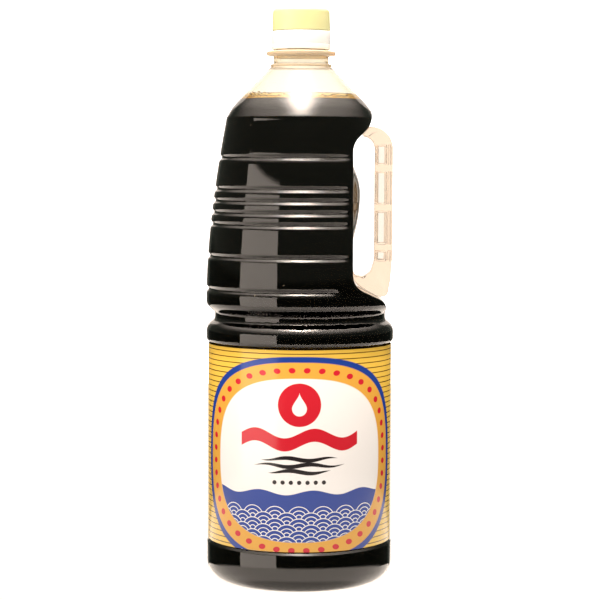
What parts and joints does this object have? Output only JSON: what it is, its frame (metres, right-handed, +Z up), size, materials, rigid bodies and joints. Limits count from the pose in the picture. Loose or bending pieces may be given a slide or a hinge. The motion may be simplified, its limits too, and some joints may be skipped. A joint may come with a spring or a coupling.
{
  "type": "soy sauce bottle",
  "caption": "Clear plastic family-size bottle of soy sauce with a side grip, ribbed walls, wrap-round label and yellow screw cap.",
  "frame": {"origin": "centre of the bottle's axis, on the plane that it stands on", "axes": "+Z up along the bottle's axis, +X towards the grip, -Y towards the front of the label"},
  "size_m": [0.1029, 0.103, 0.3127],
  "materials": {
    "clear_bottle": "clear, glossy, thin blown plastic",
    "sauce": "near-black liquid, red brown where it is thin",
    "clear_grip": "clear moulded plastic with a faint warm tint",
    "label_film": "printed glossy film",
    "white_plastic": "satin",
    "yellow_plastic": "satin, slightly translucent"
  },
  "bodies": {
    "root": {"bottle": "clear_bottle", "soy_sauce": "sauce", "grip": "clear_grip", "label": "label_film", "cap_collar": "white_plastic", "cap": "yellow_plastic"}
  },
  "joints": []
}
